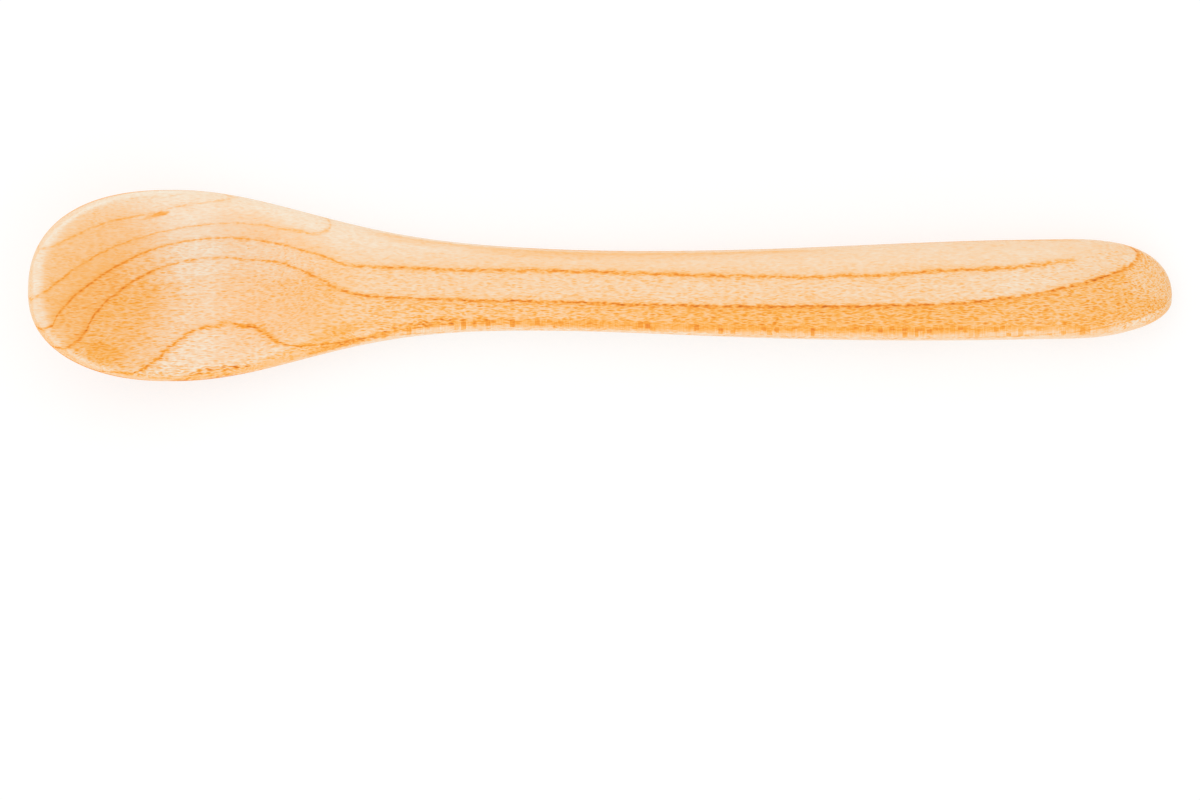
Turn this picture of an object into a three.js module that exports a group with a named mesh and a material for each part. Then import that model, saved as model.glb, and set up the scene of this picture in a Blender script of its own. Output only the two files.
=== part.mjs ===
// A small wooden feeding spoon, carved from one piece of pale hardwood.
// Millimetres, +Z up. X runs along the spoon, from the tip of the bowl (-X) to the end of the
// handle (+X). The spoon rests on the table, z = 0, on the heel of its bowl and on its handle's end.

import * as THREE from 'three';

// Lengths along the spoon, each measured from the tip of the bowl
const spoonLength = 140;
const bowlWidestAt = 18;
const flankLength = 22.2;
const waistAt = 64;
const gripWidestAt = 120;
const hollowDeepestAt = 20.5;
const hollowEndAt = 38;
const heelAt = 30;
const heelLength = 7;
const liftStartsAt = 28;
const crownHighestAt = 109;
const gripHeelAt = 123;
const swingStartsAt = 35;
const swingWidestAt = 90;
const swingEndsAt = 136;

// Widths
const bowlWidth = 23.4;
const waistWidth = 9.8;
const gripWidth = 12.2;

// How far the middle line strays sideways, as a hand-carved spoon's does
const gripSwing = -0.98;
const endSwing = -0.35;
const tipOffset = -0.7;
const endOffset = -1.1;

// Heights above the table
const tipHeight = 14;
const lipHeight = 12.9;
const neckHeight = 6.9;
const gripHeight = 9.75;
const endHeight = 3.2;
const archHeight = 1.2;
const sandedOff = 0.12;

// Rounding of the two ends, seen from above and from the side
const tipRounding = 17.5;
const endRounding = 13;
const lipRounding = 0.9;
const endTopRounding = 31;
const endUnderRounding = 8;

// The hollow and its rim. The crease between them is crisp at the tip and soft along the sides.
const tipBand = 1.9;
const sideBand = 0.7;
const rimEdge = 1.2;
const hollowDepth = 4.5;
const hollowTaper = 0.3;
const creaseAtTip = 0.2;
const creaseAtSides = 1;
const creaseSoftensBy = 13;

// Fullness of the curves: 2 is an ellipse, more is squarer, less is sharper
const endFullness = 2.3;
const gripTopFullness = 2.8;
const gripUnderFullness = 2.6;
const bowlUnderFullness = 1.95;
const hollowFullness = 2.3;
const lipUnderFullness = 1.9;
const liftSteepness = 2.2;
const liftFullness = 1.4;
const crownFullness = 0.85;

// How much of the spoon's thickness lies below its widest line
const gripSideShare = 0.52;
const bowlSideShare = 0.8;

// Facets
const stationCount = 64;
const acrossCount = 22;

// 0 at the outer end of a rounding, 1 where the rounding is over
function rounding(distance, reach, fullness) {
  const left = 1 - THREE.MathUtils.clamp(distance / reach, 0, 1);
  return Math.pow(1 - Math.pow(left, fullness), 1 / fullness);
}

// The lower of two heights, with the crease between them rounded
function roundedMin(a, b, radius) {
  const near = Math.max(radius - Math.abs(a - b), 0) / radius;
  return Math.min(a, b) - near * near * radius / 4;
}

const mix = THREE.MathUtils.lerp;
const ease = (value, from, to) => THREE.MathUtils.smoothstep(value, from, to);

// 1 along the bowl, falling in a bell-shaped flank to 0 on the handle
function bowlShare(at) {
  const past = Math.max(at - bowlWidestAt, 0) / flankLength;
  return Math.exp(-past * past);
}

// Half of the spoon's width before its ends are rounded
function fullHalfWidth(at) {
  const handle = mix(waistWidth, gripWidth, ease(at, waistAt, gripWidestAt)) / 2;
  return mix(handle, bowlWidth / 2, bowlShare(at));
}

function halfWidth(at) {
  return fullHalfWidth(at)
    * rounding(at, tipRounding, endFullness)
    * rounding(spoonLength - at, endRounding, endFullness);
}

function middleLine(at) {
  const out = gripSwing * ease(at, swingStartsAt, swingWidestAt);
  const back = (endSwing - gripSwing) * ease(at, swingWidestAt, swingEndsAt);
  const atTip = tipOffset * (1 - rounding(at, tipRounding / 2, endFullness));
  const atEnd = endOffset * (1 - rounding(spoonLength - at, endRounding / 2, endFullness));
  return out + back + atTip + atEnd;
}

// Top of the rim along the bowl, and of the crown along the handle
function topHeight(at) {
  const along = THREE.MathUtils.clamp((at - liftStartsAt) / (crownHighestAt - liftStartsAt), 0, 1);
  const handle = mix(neckHeight, gripHeight, Math.pow(along, crownFullness));
  const towardsTip = Math.min(at / liftStartsAt, 1);
  const lift = Math.pow(1 - towardsTip, liftSteepness) * (1 + liftFullness * towardsTip);
  const top = handle + (tipHeight - neckHeight) * lift;
  const lipped = mix(lipHeight, top, rounding(at, lipRounding, endFullness));
  return mix(endHeight, lipped, rounding(spoonLength - at, endTopRounding, endFullness));
}

// Underside before it is sanded flat where it rests: a quarter of an oval from lip to heel,
// a low arch, and the rounded end
function underHeight(at) {
  const bowl = lipHeight * (1 - rounding(at, heelAt, lipUnderFullness));
  const alongArch = (at - heelAt - heelLength) / (gripHeelAt - heelAt - heelLength);
  const arch = archHeight * Math.sin(Math.PI * THREE.MathUtils.clamp(alongArch, 0, 1));
  const carved = bowl + arch - sandedOff;
  return mix(endHeight, carved, rounding(spoonLength - at, endUnderRounding, endFullness));
}

// Depth of the hollow below the rim. Outside the hollow's outline the value is negative.
function hollowDepthAt(at, sideways) {
  const toTip = (hollowDeepestAt - at) / (hollowDeepestAt - tipBand);
  const toNeck = (at - hollowDeepestAt) / (hollowEndAt - hollowDeepestAt);
  const along = Math.pow(Math.max(toTip, toNeck), hollowFullness);
  const across = Math.pow(sideways / (fullHalfWidth(at) - sideBand), hollowFullness);
  const reach = Math.pow(along + across, 2 / hollowFullness);
  return hollowDepth * (1 - reach) * (1 - hollowTaper * Math.min(reach, 1));
}

// One point of the spoon's skin: across runs from -1 to 1 between the two side lines
function skinPoint(at, across, onTop) {
  const half = halfWidth(at);
  const share = bowlShare(at);
  const top = topHeight(at);
  const under = underHeight(at);
  const side = mix(under, top, mix(gripSideShare, bowlSideShare, share));
  const out = Math.abs(across);
  let z;
  if (onTop) {
    const edge = Math.min(mix(half, rimEdge, share), half);
    const fullness = mix(gripTopFullness, 2, share);
    const fromSide = half > 0 ? (1 - out) * half / edge : 1;
    z = mix(side, top, rounding(fromSide, 1, fullness));
    const floor = top - hollowDepthAt(at, out * half);
    z = roundedMin(z, floor, mix(creaseAtTip, creaseAtSides, ease(at, 0, creaseSoftensBy)));
  } else {
    const fullness = mix(gripUnderFullness, bowlUnderFullness, share);
    z = Math.max(mix(side, under, rounding(1 - out, 1, fullness)), 0);
  }
  return [at - spoonLength / 2, middleLine(at) + across * half, z];
}

// The closed skin: rings of points across the spoon, joined by quads, with a point at each end
function spoonGeometry() {
  const positions = [];
  const faces = [];
  const ringSize = 2 * acrossCount;
  positions.push(...skinPoint(0, 0, true));
  for (let i = 1; i < stationCount; i += 1) {
    const at = spoonLength * (1 - Math.cos(Math.PI * i / stationCount)) / 2;
    for (let j = 0; j < ringSize; j += 1) {
      const across = Math.cos(Math.PI * j / acrossCount);
      positions.push(...skinPoint(at, across, j <= acrossCount));
    }
  }
  positions.push(...skinPoint(spoonLength, 0, true));

  const lastPoint = positions.length / 3 - 1;
  for (let j = 0; j < ringSize; j += 1) {
    const next = (j + 1) % ringSize;
    faces.push(0, 1 + next, 1 + j);
    for (let i = 0; i < stationCount - 2; i += 1) {
      const here = 1 + i * ringSize;
      const there = here + ringSize;
      faces.push(here + j, there + next, there + j);
      faces.push(here + j, here + next, there + next);
    }
    const lastRing = lastPoint - ringSize;
    faces.push(lastRing + j, lastRing + next, lastPoint);
  }

  const geometry = new THREE.BufferGeometry();
  geometry.setAttribute('position', new THREE.Float32BufferAttribute(positions, 3));
  geometry.setIndex(faces);
  geometry.computeVertexNormals();
  return geometry;
}

function paleWood() {
  return new THREE.MeshStandardMaterial({ color: 0xf2c48d, roughness: 0.55, metalness: 0 });
}

const feedingSpoon = new THREE.Group();
const spoon = new THREE.Mesh(spoonGeometry(), paleWood());
spoon.name = 'carved_spoon';
feedingSpoon.add(spoon);

export default feedingSpoon;
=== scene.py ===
import math

import bpy
import numpy as np
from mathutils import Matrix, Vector


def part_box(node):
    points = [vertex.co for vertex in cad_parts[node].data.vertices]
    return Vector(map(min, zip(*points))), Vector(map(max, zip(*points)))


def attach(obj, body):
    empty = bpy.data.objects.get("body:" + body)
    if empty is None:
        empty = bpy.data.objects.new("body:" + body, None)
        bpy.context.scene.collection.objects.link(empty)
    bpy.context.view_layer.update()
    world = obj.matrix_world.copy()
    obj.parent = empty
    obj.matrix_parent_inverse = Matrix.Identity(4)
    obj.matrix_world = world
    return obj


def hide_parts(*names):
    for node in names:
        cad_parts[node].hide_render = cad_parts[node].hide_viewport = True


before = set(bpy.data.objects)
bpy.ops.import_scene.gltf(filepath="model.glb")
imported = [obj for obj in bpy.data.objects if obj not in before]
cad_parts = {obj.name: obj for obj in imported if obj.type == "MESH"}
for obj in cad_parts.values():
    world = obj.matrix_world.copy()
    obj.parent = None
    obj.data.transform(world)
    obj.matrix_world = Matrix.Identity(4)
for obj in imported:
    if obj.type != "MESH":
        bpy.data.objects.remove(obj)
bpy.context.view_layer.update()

# The spoon is seen from straight above and lies along the upper half of the picture, as it was
# photographed. The whole picture is 147 mm wide, and its centre is 14 mm below the spoon's middle line.
picture_width = 0.14685
picture_centre_below = 0.01401
camera_height = 0.4

camera = bpy.data.objects.new("camera", bpy.data.cameras.new("camera"))
camera.data.type = "ORTHO"
camera.data.ortho_scale = picture_width
camera.location = (0, -picture_centre_below, camera_height)
bpy.context.collection.objects.link(camera)
bpy.context.scene.camera = camera
bpy.context.scene.view_settings.view_transform = "Standard"

# A white room: soft even light from all round, a little of it missing so that two soft lamps can
# shape the wood. One is large, above the bowl and the far side, and one low in front of the near side.
white = (1, 1, 1, 1)
room_seen, room_level = 1.0, 0.9
high_power, high_size, high_place = 0.6, (0.6, 0.6), (-0.2, 0.3, 0.6)
low_power, low_size, low_place = 0.62, (0.8, 0.16), (0, -0.7, 0.085)


def shown(tree):
    """1 for what the camera sees, also by a reflection or through glass, and 0 for what only lights."""
    ray_kind = tree.nodes.new("ShaderNodeLightPath")
    result = ray_kind.outputs["Is Camera Ray"]
    for name in ("Is Glossy Ray", "Is Transmission Ray"):
        larger = tree.nodes.new("ShaderNodeMath")
        larger.operation = "MAXIMUM"
        tree.links.new(result, larger.inputs[0])
        tree.links.new(ray_kind.outputs[name], larger.inputs[1])
        result = larger.outputs[0]
    return result


def soft_lamp(name, shape, power, size, place):
    """A lamp with a large face that is turned to the spoon."""
    lamp = bpy.data.objects.new(name, bpy.data.lights.new(name, "AREA"))
    lamp.data.shape = shape
    lamp.data.energy = power
    lamp.data.size, lamp.data.size_y = size
    lamp.location = place
    lamp.rotation_euler = (-lamp.location).to_track_quat("-Z", "Y").to_euler()
    bpy.context.collection.objects.link(lamp)


room = bpy.data.worlds.new("white_room")
bpy.context.scene.world = room
room.use_nodes = True
room_tree = room.node_tree
room_tree.nodes.clear()
seen = room_tree.nodes.new("ShaderNodeBackground")
seen.inputs["Color"].default_value = white
seen.inputs["Strength"].default_value = room_seen
lit = room_tree.nodes.new("ShaderNodeBackground")
lit.inputs["Color"].default_value = white
lit.inputs["Strength"].default_value = room_level
room_choice = room_tree.nodes.new("ShaderNodeMixShader")
room_output = room_tree.nodes.new("ShaderNodeOutputWorld")
room_tree.links.new(shown(room_tree), room_choice.inputs["Fac"])
room_tree.links.new(lit.outputs["Background"], room_choice.inputs[1])
room_tree.links.new(seen.outputs["Background"], room_choice.inputs[2])
room_tree.links.new(room_choice.outputs["Shader"], room_output.inputs["Surface"])

soft_lamp("soft_lamp", "DISK", high_power, high_size, high_place)
soft_lamp("low_lamp", "RECTANGLE", low_power, low_size, low_place)

# The table: a plain white sheet under the spoon. The camera sees it as white, with a light shadow of
# the spoon on it, and it throws light back up on the spoon's underside.
table_half = 1.5
table_white = 0.95
shadow_share = 0.35
table_glow = 0.68

sheet_form = bpy.data.meshes.new("white_table")
sheet_form.from_pydata(
    [(x * table_half, y * table_half, 0) for x, y in ((-1, -1), (1, -1), (1, 1), (-1, 1))],
    [],
    [(0, 1, 2, 3)],
)
table = bpy.data.objects.new("white_table", sheet_form)
bpy.context.collection.objects.link(table)
sheet = bpy.data.materials.new("white_sheet")
sheet.use_nodes = True
sheet_tree = sheet.node_tree
sheet_tree.nodes.clear()
bounce = sheet_tree.nodes.new("ShaderNodeBsdfDiffuse")
bounce.inputs["Color"].default_value = (table_white, table_white, table_white, 1)
shadowed = sheet_tree.nodes.new("ShaderNodeBsdfDiffuse")
shadowed.inputs["Color"].default_value = (shadow_share, shadow_share, shadow_share, 1)
glow = sheet_tree.nodes.new("ShaderNodeEmission")
glow.inputs["Color"].default_value = white
glow.inputs["Strength"].default_value = table_glow
bright = sheet_tree.nodes.new("ShaderNodeAddShader")
sheet_choice = sheet_tree.nodes.new("ShaderNodeMixShader")
sheet_output = sheet_tree.nodes.new("ShaderNodeOutputMaterial")
sheet_tree.links.new(shadowed.outputs["BSDF"], bright.inputs[0])
sheet_tree.links.new(glow.outputs["Emission"], bright.inputs[1])
sheet_tree.links.new(shown(sheet_tree), sheet_choice.inputs["Fac"])
sheet_tree.links.new(bounce.outputs["BSDF"], sheet_choice.inputs[1])
sheet_tree.links.new(bright.outputs["Shader"], sheet_choice.inputs[2])
sheet_tree.links.new(sheet_choice.outputs["Shader"], sheet_output.inputs["Surface"])
sheet_form.materials.append(sheet)

# The spoon: one stick of pale close-grained hardwood, sawn to its outline from above, then from the
# side, its hollow cut with a gouge, and everything sanded round. Sizes are in millimetres; those
# along the spoon are measured from the tip of the bowl.
spoon_length = 140
bowl_widest_at = 18
flank_length = 22.2
waist_at = 64
grip_widest_at = 120
hollow_deepest_at = 20.5
hollow_end_at = 38
heel_at = 30
heel_length = 7
lift_starts_at = 28
crown_highest_at = 109
grip_heel_at = 123
swing_starts_at = 35
swing_widest_at = 90
swing_ends_at = 136

# Widths
bowl_width = 23.4
waist_width = 9.8
grip_width = 12.2

# How far the middle line strays sideways, as a hand-carved spoon's does
grip_swing = -0.98
end_swing = -0.35
tip_offset = -0.7
end_offset = -1.1

# Heights above the table
tip_height = 14
lip_height = 12.9
neck_height = 6.9
grip_height = 9.75
end_height = 3.2
arch_height = 1.2
sanded_off = 0.12

# Rounding of the two ends, seen from above and from the side
tip_rounding = 17.5
end_rounding = 13
lip_rounding = 0.9
end_top_rounding = 31
end_under_rounding = 8

# The hollow and its rim. The crease between them is crisp at the tip and soft along the sides.
tip_band = 1.9
side_band = 0.7
rim_edge = 1.2
hollow_depth = 4.5
hollow_taper = 0.3
crease_at_tip = 0.2
crease_at_sides = 1.0
crease_softens_by = 13

# Fullness of the curves: 2 is an ellipse, more is squarer, less is sharper
end_fullness = 2.3
grip_top_fullness = 2.8
grip_under_fullness = 2.6
bowl_under_fullness = 1.95
hollow_fullness = 2.3
lip_under_fullness = 1.9
lift_steepness = 2.2
lift_fullness = 1.4
crown_fullness = 0.85

# How much of the spoon's thickness lies below its widest line
grip_side_share = 0.52
bowl_side_share = 0.8

# How finely the skin is divided
stations = 300
steps_across = 56

lowest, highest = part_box("carved_spoon")
mm = (highest.x - lowest.x) / spoon_length


def rounding(distance, reach, fullness):
    """0 at the outer end of a rounding, 1 where the rounding is over."""
    left = 1 - np.clip(distance / reach, 0, 1)
    return (1 - left**fullness) ** (1 / fullness)


def mix(a, b, share):
    return a + (b - a) * share


def ease(value, start, end):
    share = np.clip((value - start) / (end - start), 0, 1)
    return share * share * (3 - 2 * share)


def bowl_share(at):
    """1 along the bowl, falling in a bell-shaped flank to 0 on the handle."""
    return np.exp(-((np.maximum(at - bowl_widest_at, 0) / flank_length) ** 2))


def full_half_width(at):
    """Half of the spoon's width before its ends are rounded."""
    handle = mix(waist_width, grip_width, ease(at, waist_at, grip_widest_at)) / 2
    return mix(handle, bowl_width / 2, bowl_share(at))


def half_width(at):
    at_tip = rounding(at, tip_rounding, end_fullness)
    at_end = rounding(spoon_length - at, end_rounding, end_fullness)
    return full_half_width(at) * at_tip * at_end


def middle_line(at):
    out = grip_swing * ease(at, swing_starts_at, swing_widest_at)
    back = (end_swing - grip_swing) * ease(at, swing_widest_at, swing_ends_at)
    at_tip = tip_offset * (1 - rounding(at, tip_rounding / 2, end_fullness))
    at_end = end_offset * (1 - rounding(spoon_length - at, end_rounding / 2, end_fullness))
    return out + back + at_tip + at_end


def top_height(at):
    """Top of the rim along the bowl, and of the crown along the handle."""
    along = np.clip((at - lift_starts_at) / (crown_highest_at - lift_starts_at), 0, 1)
    handle = mix(neck_height, grip_height, along**crown_fullness)
    towards_tip = np.minimum(at / lift_starts_at, 1)
    lift = (1 - towards_tip) ** lift_steepness * (1 + lift_fullness * towards_tip)
    top = handle + (tip_height - neck_height) * lift
    lipped = mix(lip_height, top, rounding(at, lip_rounding, end_fullness))
    return mix(end_height, lipped, rounding(spoon_length - at, end_top_rounding, end_fullness))


def under_height(at):
    """Underside before it is sanded flat where it rests: a quarter oval, a low arch and the end."""
    bowl = lip_height * (1 - rounding(at, heel_at, lip_under_fullness))
    arch_starts_at = heel_at + heel_length
    along_arch = np.clip((at - arch_starts_at) / (grip_heel_at - arch_starts_at), 0, 1)
    carved = bowl + arch_height * np.sin(np.pi * along_arch) - sanded_off
    return mix(end_height, carved, rounding(spoon_length - at, end_under_rounding, end_fullness))


def hollow_depth_at(at, sideways):
    """Depth of the hollow below the rim. Outside its outline the value is negative and falls away."""
    to_tip = (hollow_deepest_at - at) / (hollow_deepest_at - tip_band)
    to_neck = (at - hollow_deepest_at) / (hollow_end_at - hollow_deepest_at)
    along = np.maximum(to_tip, to_neck)
    across = sideways / (full_half_width(at) - side_band)
    reach = (along**hollow_fullness + across**hollow_fullness) ** (2 / hollow_fullness)
    return hollow_depth * (1 - reach) * (1 - hollow_taper * np.minimum(reach, 1))


def skin(at, across, on_top):
    """Points of the spoon's skin: across runs from -1 to 1 between its two side lines."""
    half, share = half_width(at), bowl_share(at)
    top, under = top_height(at), under_height(at)
    side = mix(under, top, mix(grip_side_share, bowl_side_share, share))
    out = np.abs(across)
    edge = np.minimum(mix(half, rim_edge, share), half)
    crown = mix(side, top, rounding((1 - out) * half / edge, 1, mix(grip_top_fullness, 2, share)))
    floor = top - hollow_depth_at(at, out * half)
    crease = mix(crease_at_tip, crease_at_sides, ease(at, 0, crease_softens_by))
    closeness = np.maximum(crease - np.abs(crown - floor), 0) / crease
    above = np.minimum(crown, floor) - closeness * closeness * crease / 4
    under_fullness = mix(grip_under_fullness, bowl_under_fullness, share)
    belly = mix(side, under, rounding(1 - out, 1, under_fullness))
    height = np.where(on_top, above, np.maximum(belly, 0))
    return np.stack([at - spoon_length / 2 + 0 * across, middle_line(at) + across * half, height], -1)


ring_size = 2 * steps_across
turn = np.arange(ring_size)
at = spoon_length * (1 - np.cos(np.pi * np.arange(1, stations) / stations)) / 2
rings = skin(at[:, None], np.cos(np.pi * turn / steps_across)[None, :], turn <= steps_across)
tip = (-spoon_length / 2, middle_line(0), lip_height)
end = (spoon_length / 2, middle_line(spoon_length), end_height)
points = np.vstack([tip, rings.reshape(-1, 3), end]) * mm

faces = []
last = len(points) - 1
for j in range(ring_size):
    beside = (j + 1) % ring_size
    faces.append((0, 1 + beside, 1 + j))
    faces.append((last - ring_size + j, last - ring_size + beside, last))
    for i in range(stations - 2):
        here = 1 + i * ring_size
        there = here + ring_size
        faces.append((here + j, here + beside, there + beside, there + j))

form = bpy.data.meshes.new("wooden_spoon")
form.from_pydata(points.tolist(), [], faces)
form.polygons.foreach_set("use_smooth", [True] * len(form.polygons))
form.update()
spoon = bpy.data.objects.new("wooden_spoon", form)
bpy.context.collection.objects.link(spoon)

# Its wood is worked out in the depth of the stick, so that every face shows the same growth rings as
# they are cut there.
wood = bpy.data.materials.new("pale_wood")
wood.use_nodes = True
wood_tree = wood.node_tree


def calculate(operation, *values):
    """One sum of the wood's pattern; a value is a number or what another node gives."""
    node = wood_tree.nodes.new("ShaderNodeMath")
    node.operation = operation
    for socket, value in zip(node.inputs, values):
        if isinstance(value, bpy.types.NodeSocket):
            wood_tree.links.new(value, socket)
        else:
            socket.default_value = value
    return node.outputs[0]


def total(*values):
    result = values[0]
    for value in values[1:]:
        result = calculate("ADD", result, value)
    return result


def times(*values):
    result = values[0]
    for value in values[1:]:
        result = calculate("MULTIPLY", result, value)
    return result


def minus(value, taken):
    return calculate("SUBTRACT", value, taken)


def fade(value, start, end, low=0.0, high=1.0, shape="SMOOTHSTEP"):
    """Goes from low to high while the value goes from start to end, and stays there outside them."""
    node = wood_tree.nodes.new("ShaderNodeMapRange")
    node.interpolation_type = shape
    wood_tree.links.new(value, node.inputs["Value"])
    for name, number in (("From Min", start), ("From Max", end), ("To Min", low), ("To Max", high)):
        node.inputs[name].default_value = number
    return node.outputs["Result"]


def drawn_curve(value, *places):
    """A smooth curve through a few places, each a pair: where the value is, and what comes out."""
    start, end = places[0][0], places[-1][0]
    lowest_out, highest_out = min(out for _, out in places), max(out for _, out in places)
    node = wood_tree.nodes.new("ShaderNodeFloatCurve")
    curve = node.mapping.curves[0]
    while len(curve.points) < len(places):
        curve.points.new(0.5, 0.5)
    for point, (here, out) in zip(curve.points, places):
        share = (out - lowest_out) / (highest_out - lowest_out)
        point.location = ((here - start) / (end - start), share)
        point.handle_type = "AUTO"
    node.mapping.update()
    wood_tree.links.new(fade(value, start, end, shape="LINEAR"), node.inputs["Value"])
    return fade(node.outputs["Value"], 0, 1, lowest_out, highest_out, "LINEAR")


def along_axis(vector, axis):
    node = wood_tree.nodes.new("ShaderNodeVectorMath")
    node.operation = "DOT_PRODUCT"
    wood_tree.links.new(vector, node.inputs[0])
    node.inputs[1].default_value = axis
    return node.outputs["Value"]


# Where a place lies in the wood, in millimetres: along the grain, sideways, along a ray towards the
# bark, and round the tree. The bark was on the spoon's far upper side. Then, how the surface faces
# there.
bark_angle = math.radians(47)
bark_axis = Vector((0, math.cos(bark_angle), math.sin(bark_angle)))
round_axis = Vector((0, -math.sin(bark_angle), math.cos(bark_angle)))
surface = wood_tree.nodes.new("ShaderNodeTexCoord")
grain = along_axis(surface.outputs["Object"], Vector((1, 0, 0)) / mm)
sideways = along_axis(surface.outputs["Object"], Vector((0, 1, 0)) / mm)
ray = along_axis(surface.outputs["Object"], bark_axis / mm)
round_tree = along_axis(surface.outputs["Object"], round_axis / mm)
end_on = along_axis(surface.outputs["Normal"], Vector((1, 0, 0)))
near = along_axis(surface.outputs["Normal"], Vector((0, -1, 0)))
upright = along_axis(surface.outputs["Normal"], Vector((0, 0, 1)))
bark_side = along_axis(surface.outputs["Normal"], bark_axis)
quarter = fade(along_axis(surface.outputs["Normal"], round_axis), 0.93, 0.99)

# The short fibres, which show as dashes, stay long right through the hollow: they dip and rise with
# its floor.
fibre_rise = drawn_curve(
    grain, (-70, 8.7), (-66, 7.1), (-58, 2.1), (-50, -1.3), (-46, -1.8), (-38, -1.0), (-30, 0)
)
fibre_ray = minus(ray, times(fibre_rise, bark_axis.z))
fibre_round = minus(round_tree, times(fibre_rise, round_axis.z))


def stretched(length, depth, width, along=0.0, aside=0.0):
    """The place in the wood, counted in grains of this length along it, depth to the bark and width."""
    place = wood_tree.nodes.new("ShaderNodeCombineXYZ")
    shifted = (total(grain, along), fibre_ray, total(fibre_round, aside))
    for socket, value, size in zip(place.inputs, shifted, (length, depth, width)):
        wood_tree.links.new(calculate("DIVIDE", value, size), socket)
    return place.outputs["Vector"]


def streaks(length, depth, width, seed, detail=1.0, aside=0.0):
    """Soft uneven streaks of about this size, as a value round 0."""
    noise = wood_tree.nodes.new("ShaderNodeTexNoise")
    noise.noise_dimensions = "4D"
    noise.inputs["W"].default_value = seed
    noise.inputs["Scale"].default_value = 1.0
    noise.inputs["Detail"].default_value = detail
    wood_tree.links.new(stretched(length, depth, width, aside=aside), noise.inputs["Vector"])
    return minus(noise.outputs["Fac"], 0.5)


def grains(length, depth, width, along=0.0, aside=0.0, metric="EUCLIDEAN", scatter=0.85):
    """Separate grains: how far the nearest one's middle is, and a number by chance for each."""
    cells = wood_tree.nodes.new("ShaderNodeTexVoronoi")
    cells.distance = metric
    cells.inputs["Scale"].default_value = 1.0
    cells.inputs["Randomness"].default_value = scatter
    wood_tree.links.new(stretched(length, depth, width, along, aside), cells.inputs["Vector"])
    chance = wood_tree.nodes.new("ShaderNodeSeparateColor")
    wood_tree.links.new(cells.outputs["Color"], chance.inputs["Color"])
    return cells.outputs["Distance"], chance.outputs[0]


# The growth rings are slightly wavy layers that lie across the rays. Each shows as a broken line with
# a dark core and a soft halo, which is strongest on the nose of the bowl.
wobble = times(streaks(1.5, 3, 1.2, 5), 0.28)
jitter = times(streaks(0.9, 2, 0.25, 6), 0.2)
wavy_ray = total(ray, wobble, jitter)
broken = fade(streaks(0.7, 4, 0.2, 7), -0.14, 0.14, 0.45, 1.35)
nose = times(fade(end_on, 0.0, -0.3), fade(upright, 0.35, 0.05))
core_strength = fade(nose, 0, 1, 0.7, 0.65)
core_fall = -75
halo_strength = fade(nose, 0, 1, 0.3, 0.8)
halo_fall = fade(nose, 0, 1, -3.6, -2.6)


def growth_ring(levels, strengths, thinness=1.0):
    """How far each place lies outside a ring, and how dark the ring's line is there. The ring is given
    by how far it lies towards the bark and how strong it is, both at places along the grain, and by
    how many times thinner than usual its line is."""
    outside = minus(wavy_ray, drawn_curve(grain, *levels))
    away = times(calculate("ABSOLUTE", outside), thinness)
    core = calculate("EXPONENT", times(away, away, core_fall))
    halo = calculate("EXPONENT", times(away, halo_fall))
    line = total(times(core, core_strength), times(halo, halo_strength))
    return outside, times(line, drawn_curve(grain, *strengths))


# From the bark inwards: two rings in the bowl's far side, two that run on along the handle, one round
# the hollow's near side and along the near shoulder, and one low on the near side.
past_rim, rim_ring = growth_ring(
    ((-70, 13.0), (-61, 12.8), (-55, 12.0), (-40, 12.0)),
    ((-70, 0.16), (-52, 0.24), (-44, 0.14), (-38, 0)),
)
past_far, far_ring = growth_ring(
    ((-70, 8.8), (-67, 9.4), (-60, 9.5), (-56, 9.2), (-48, 9.1),
     (-38, 9.6), (-34, 9.5), (-32.6, 10.2), (-31.4, 13.5)),
    ((-70, 0.34), (-50, 0.26), (-31, 0.22), (-30, 0)),
)
past_crown, crown_ring = growth_ring(
    ((-67, 6.3), (-63, 7.3), (-46, 7.2), (-36, 7.6), (-30, 7.1), (-18, 7.05),
     (-7, 7.2), (16, 7.3), (34, 7.8), (46, 8.3), (62, 8.2)),
    ((-70, 0.46), (-34, 0.44), (-24, 0.56), (50, 0.54), (59, 0)),
)
past_middle, middle_ring = growth_ring(
    ((-70, 4.6), (-64, 4.1), (-62, 4.7), (-57, 5.0), (-44, 4.8), (-38, 5.4), (-34, 5.2),
     (-26, 4.6), (-6, 4.7), (12, 4.8), (34, 5.3), (46, 5.7), (60, 6.55), (70, 7.2)),
    ((-70, 0.54), (-40, 0.46), (-28, 0.6), (30, 0.7), (70, 0.5)),
)
past_hollow, hollow_ring = growth_ring(
    ((-66, 0.4), (-62, 0.6), (-57, -0.25), (-48, -0.4), (-40, -0.05), (-33, 0), (-27, 0.45),
     (-16, 0.35), (12, 0.45), (18, 0.8), (46, 1.0), (56, 1.4), (68, 2.15)),
    ((-70, 0.36), (-45, 0.55), (-25, 0.36), (70, 0.35)),
    thinness=1.6,
)
past_low, low_ring = growth_ring(
    ((-70, -2), (-51, -2.85), (-47, -3.35), (-32, -3.1), (-24, -2.4),
     (0, -2.8), (34, -2.4), (54, -1.8), (70, -1.7)),
    ((-55, 0.3), (-50, 0.9), (-44, 0.8), (-36, 0.5), (-20, 0.3), (10, 0.3), (36, 0.5)),
)
ring_lines = total(rim_ring, far_ring, crown_ring, middle_ring, hollow_ring, low_ring)
ring_lines = times(ring_lines, broken, fade(upright, 0.0, 0.4, 0.6, 1.0))

# One more ring only grazes the handle's far edge.
edge_fall = -60
edge_level = drawn_curve(
    grain, (-28, 9.0), (-22, 8.3), (-15, 7.88), (-3, 7.74), (12, 7.94), (24, 8.32), (40, 9.2)
)
away = minus(ray, edge_level)
edge_ring = calculate("EXPONENT", times(away, away, edge_fall))
edge_ring = times(edge_ring, fade(upright, 0.88, 0.72), fade(upright, 0.1, 0.4))
edge_ring = times(edge_ring, fade(grain, 32, 20, 0.0, 0.2), fade(grain, -30, -24))

ring_softness = 0.2


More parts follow.
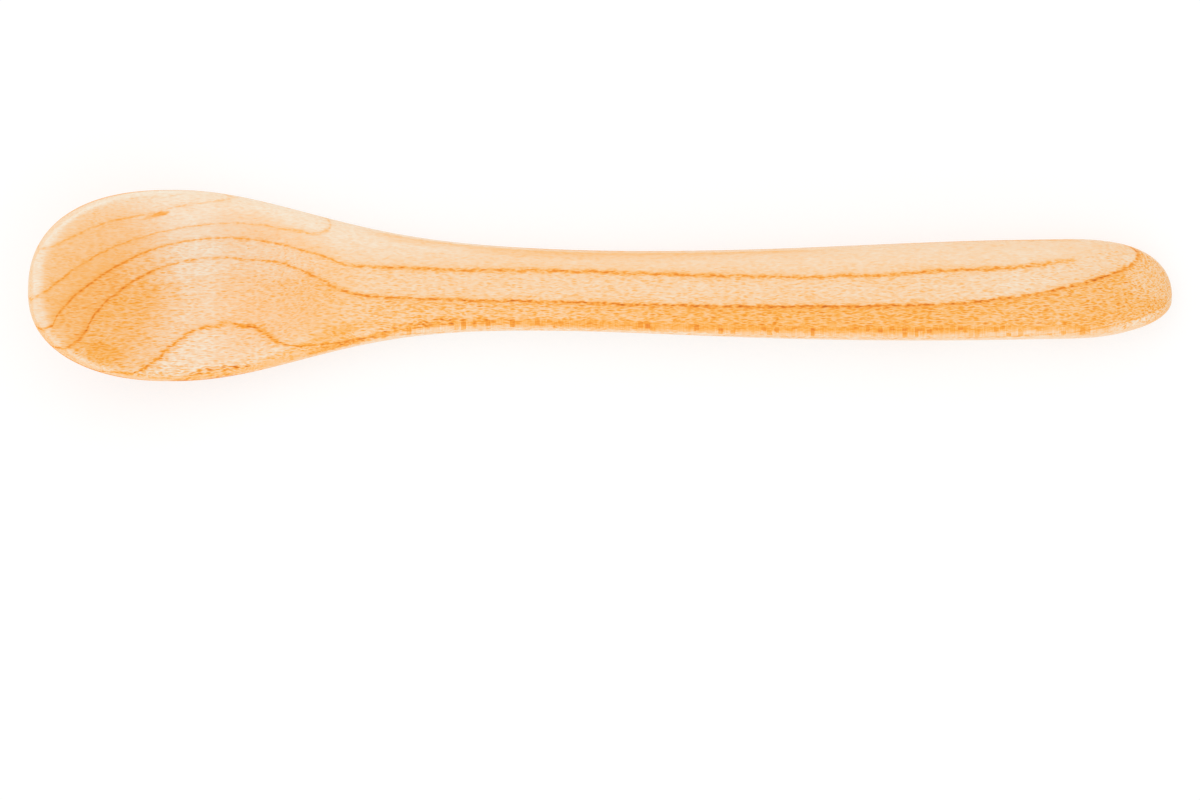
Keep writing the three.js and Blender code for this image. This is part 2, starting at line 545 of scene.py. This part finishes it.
def inside(past_ring, outer_value, inner_value):
    """Goes from one value outside a growth ring to another one inside it."""
    return fade(past_ring, ring_softness, -ring_softness, outer_value, inner_value)


# Wood cut across its grain takes the oil more darkly than wood cut along it, least so at the end of
# the handle. Faces turned towards the handle's end are darker than those turned towards the tip: that
# part is painted shade. The sides of the bowl are darker too, and those of the handle a little paler.
end_grain_and_shade = drawn_curve(
    end_on, (-1, 0.2), (-0.4, 0.27), (0, 0.2), (0.11, 0.14), (0.35, 0.29), (0.5, 0.44), (1, 0.5)
)
on_tail = fade(grain, 50, 62)
end_grain_and_shade = minus(end_grain_and_shade, times(on_tail, minus(end_grain_and_shade, 0.2), 0.8))
# Painted shade under the bowl, on faces turned down and towards the tip.
painted_shade_under_bowl = times(fade(upright, 0.1, -0.5), fade(end_on, -0.2, -0.75, 0.0, 0.1))
along_side = drawn_curve(
    grain, (-70, 0), (-67, 0.33), (-62, 0.56), (-57, 0.46), (-51, 0.18), (-28, 0),
    (40, -0.04), (62, -0.06), (70, -0.16)
)
on_side = times(fade(upright, 0.45, 0.1), fade(upright, -0.1, -0.7, 1.0, 0.4), along_side)

# The wood between two rings has a tone of its own: paler towards the bark, and darkest just inside
# the middle ring.
outer = times(fade(past_crown, -0.1, 0.4), fade(past_crown, 0.0, 1.6, -0.04, -0.09))
outer_in_bowl = times(fade(past_far, -0.1, 0.3), fade(end_on, 0.0, 0.45, -0.03, -0.04))
rim_pale = times(fade(past_rim, -0.1, 0.4), fade(grain, -48, -54), -0.04)
heart_tone = drawn_curve(grain, (-40, 0.02), (-28, 0.12), (-12, 0.17), (28, 0.3), (44, 0.3), (70, 0.26))
heart = times(fade(past_middle, 0.1, -0.2), fade(total(past_hollow, on_tail), 0.55, 1.75), heart_tone)
below = times(fade(past_hollow, 0.0, -0.5), fade(upright, 0.4, 0.7, 0.0, -0.04))

# The bowl's near edge and the handle's near shoulder are a little darker, and soft clouds and patches
# lie all over the wood.
near_edge = drawn_curve(grain, (-60, 0), (-53, 0.24), (-34, 0.26), (-27, 0.05), (-18, 0))
near_edge = times(near_edge, fade(sideways, -3.5, -5), fade(near, 0.0, 0.3), fade(near, 0.97, 0.7))
side_grain = times(quarter, drawn_curve(grain, (-14, 0), (0, 0.02), (54, 0.06), (70, 0.07)))
clouds = times(streaks(14, 5, 2.5, 3), 0.08)
patches = times(streaks(2.5, 4, 0.5, 2), 0.12)

# Short fibres show all over as fine dashes along the grain, bolder towards the near side. Their sizes
# are length, depth towards the bark and width. Their rows wander sideways and slide along the grain.
dash_size = (0.95, 0.22, 0.19)
fine_dash_size = (0.75, 0.16, 0.13)
wander = total(times(streaks(3, 6, 1.5, 8), 0.5), times(streaks(0.9, 3, 0.6, 10), 0.2))
slide = times(streaks(6, 0.7, 0.7, 13), 1.6)
away, chance = grains(*dash_size, slide, wander)
dash = times(fade(away, 0.65, 0.15), fade(chance, 0, 1, 0.55, 1.45))
away, chance = grains(*fine_dash_size, slide, times(wander, 1.4))
fine_dash = times(fade(away, 0.7, 0.15), fade(chance, 0, 1, 0.5, 1.5))
marked = total(times(dash, 0.55), times(fine_dash, 0.5))
fibres = times(streaks(0.9, 0.2, 0.12, 4, aside=wander), inside(past_crown, 0.3, 0.32))

in_bowl = fade(grain, -24, -36)
strength_in_bowl = times(inside(past_middle, 0.24, 0.3), inside(past_hollow, 1.0, 1.6), in_bowl)
strength_on_handle = times(inside(past_middle, 0.3, 0.52), minus(1, in_bowl))
on_face = times(fade(upright, 0.6, 0.3), fade(past_hollow, 0.1, -0.8, 0.0, 0.65))
front_wall = times(end_on, fade(grain, -45, -52))
dash_strength = times(
    total(strength_in_bowl, strength_on_handle),
    minus(1, on_face),
    inside(past_crown, 0.5, 1.0),
    fade(quarter, 0, 1, 1.0, 0.4),
    fade(bark_side, 0.9, 0.99, 1.0, 0.75),
    fade(front_wall, 0.1, 0.3, 1.0, 1.35),
)

# Spots that are darker or paler than the wood round them, with a rough edge.
rough_edge = times(streaks(1.0, 0.3, 0.3, 12), 1.3)


def spot(place, length, depth, width):
    """1 at a place in the wood, given by x, y and z, fading to 0 all round it."""
    middle = Vector(place)
    middle_ray, middle_round = middle.dot(bark_axis), middle.dot(round_axis)
    result = rough_edge
    for value, here, size in (
        (grain, middle.x, length), (ray, middle_ray, depth), (round_tree, middle_round, width)
    ):
        part = calculate("DIVIDE", minus(value, here), size)
        result = total(result, times(part, part))
    return fade(result, 1.3, 0.5)


marks_and_highlight = 0.0
for place, size, strength in (
    # A painted highlight in the hollow, and a short streak in its far wall
    ((-47.5, 2.6, 6.0), (13, 3.2, 3.8), -0.12),
    ((-54.4, 8.55, 7.75), (2.4, 0.4, 0.8), 0.2),
    ((-53.7, 8.75, 7.65), (1.3, 0.3, 0.8), 0.25),
    # The bowl's near rim and side, and two long marks low on that side
    ((-60.6, -8.5, 10.6), (4, 1.5, 1.5), 0.1),
    ((-59.6, -10.4, 7.3), (1.4, 1.2, 0.45), 0.16),
    ((-59.9, -10.4, 7.4), (0.5, 1.0, 0.25), 0.14),
    ((-47.7, -9.72, 2.95), (2.8, 1.5, 0.42), 0.6),
    ((-44.9, -8.75, 2.25), (3.2, 1.5, 0.42), 0.6),
    # The handle's near side: two marks and a dot
    ((36, -5.6, 1.9), (6, 1.5, 0.6), 0.22),
    ((58.1, -5.4, 1.3), (5, 1.5, 0.75), 0.38),
    ((61.4, -6.2, 3.2), (0.2, 0.4, 0.16), 0.7),
    # The handle's end, pale on its far side and darker on its near side
    ((68, 2.0, 6.0), (4, 5, 3.5), -0.17),
    ((67.2, -4.2, 3.2), (4, 3, 1.8), 0.14),
):
    marks_and_highlight = total(marks_and_highlight, times(spot(place, *size), strength))

# Torn grain along the low ring under the bowl's near edge, a stain on that edge, and a golden band
# along the near shoulder of the neck and handle.
torn = drawn_curve(grain, (-53, 0), (-50, 1), (-46, 1), (-44, 0.2), (-41, 0.8), (-38, 0))
torn = times(torn, fade(calculate("ABSOLUTE", past_low), 0.8, 0.2))
stained = times(spot((-46.8, -10.45, 7.0), 7.5, 0.26, 1.0), 0.6)
dashes = total(times(minus(marked, 0.38), total(dash_strength, stained)), times(marked, torn, 0.8))
band_level = drawn_curve(
    grain, (-36, -1.2), (-30, -0.1), (-24, 1.45), (-16, 2.35), (-5, 2.34), (12, 2.56), (40, 2.9)
)
band_strength = drawn_curve(
    grain, (-36, 0), (-31, 0.38), (-24, 0.42), (-14, 0.26), (10, 0.12), (40, 0.05), (70, 0)
)
golden_band = fade(calculate("ABSOLUTE", minus(ray, band_level)), 0.85, 0.15)
golden_band = times(golden_band, band_strength, total(marked, 0.45))
golden_band = times(golden_band, fade(upright, 0.45, 0.6), fade(sideways, -1.5, -2.5))

# Where the surface faces round the tree, rays are cut lengthways and show as square flecks.
fleck_size = (0.75, 2.2, 0.5)
away, chance = grains(*fleck_size, metric="CHEBYCHEV")
flecks = times(fade(away, 0.44, 0.36), fade(chance, 0.5, 0.9, 0.0, 0.34))
ticks = times(streaks(0.12, 4, 1, 11, 0.0), 0.3)
flecks = times(total(flecks, ticks), quarter)
flecks = times(flecks, inside(past_middle, 0.2, 1.0), fade(grain, -34, -20, 0.3, 1.0))

tone = total(end_grain_and_shade, painted_shade_under_bowl, on_side, outer, outer_in_bowl, rim_pale, heart, below, near_edge)
tone = total(tone, side_grain, clouds, patches, ring_lines, edge_ring, dashes, fibres, flecks)
tone = total(tone, marks_and_highlight, times(stained, 0.7), golden_band)

# The tone as a colour, from the palest wood to the darkest lines. The inner wood's dark tones are
# more golden than the rest.
honey = (1.0, 1.0, 0.5, 1)
wood_tones = (
    (-0.1, (0.94, 0.84, 0.69)),
    (0.1, (0.935, 0.69, 0.465)),
    (0.22, (0.955, 0.614, 0.335)),
    (0.44, (0.965, 0.482, 0.132)),
    (0.67, (0.95, 0.366, 0.034)),
    (1.0, (0.84, 0.225, 0.004)),
    (1.3, (0.6, 0.14, 0.002)),
)
palest, darkest = wood_tones[0][0], wood_tones[-1][0]
colour = wood_tree.nodes.new("ShaderNodeValToRGB")
stops = colour.color_ramp.elements
while len(stops) < len(wood_tones):
    stops.new(0.5)
for stop, (place, (red, green, blue)) in zip(stops, wood_tones):
    stop.position = (place - palest) / (darkest - palest)
    stop.color = (red, green, blue, 1)
wood_tree.links.new(fade(tone, palest, darkest, shape="LINEAR"), colour.inputs["Fac"])
honeyed = wood_tree.nodes.new("ShaderNodeMix")
honeyed.data_type = "RGBA"
honeyed.blend_type = "MULTIPLY"
wood_tree.links.new(times(fade(past_middle, 0.0, -0.6), fade(tone, 0.35, 0.8)), honeyed.inputs["Factor"])
wood_tree.links.new(colour.outputs["Color"], honeyed.inputs["A"])
honeyed.inputs["B"].default_value = honey

# Sanded smooth and lightly oiled: a satin sheen, duller on the dashes, whose pores are still felt.
sheen_level, satin_roughness = 0.4, 0.48
relief_strength, relief_depth = 0.5, 0.02

skin_shader = wood_tree.nodes["Principled BSDF"]
wood_tree.links.new(honeyed.outputs["Result"], skin_shader.inputs["Base Color"])
skin_shader.inputs["Specular IOR Level"].default_value = sheen_level
roughness = total(times(dash, 0.08), times(patches, 0.8), satin_roughness)
wood_tree.links.new(roughness, skin_shader.inputs["Roughness"])
relief = wood_tree.nodes.new("ShaderNodeBump")
relief.inputs["Strength"].default_value = relief_strength
relief.inputs["Distance"].default_value = relief_depth * mm
height = total(times(fibres, 3), times(dash, -0.5), times(ring_lines, -1))
wood_tree.links.new(height, relief.inputs["Height"])
wood_tree.links.new(relief.outputs["Normal"], skin_shader.inputs["Normal"])
form.materials.append(wood)

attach(spoon, "root")
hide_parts("carved_spoon")
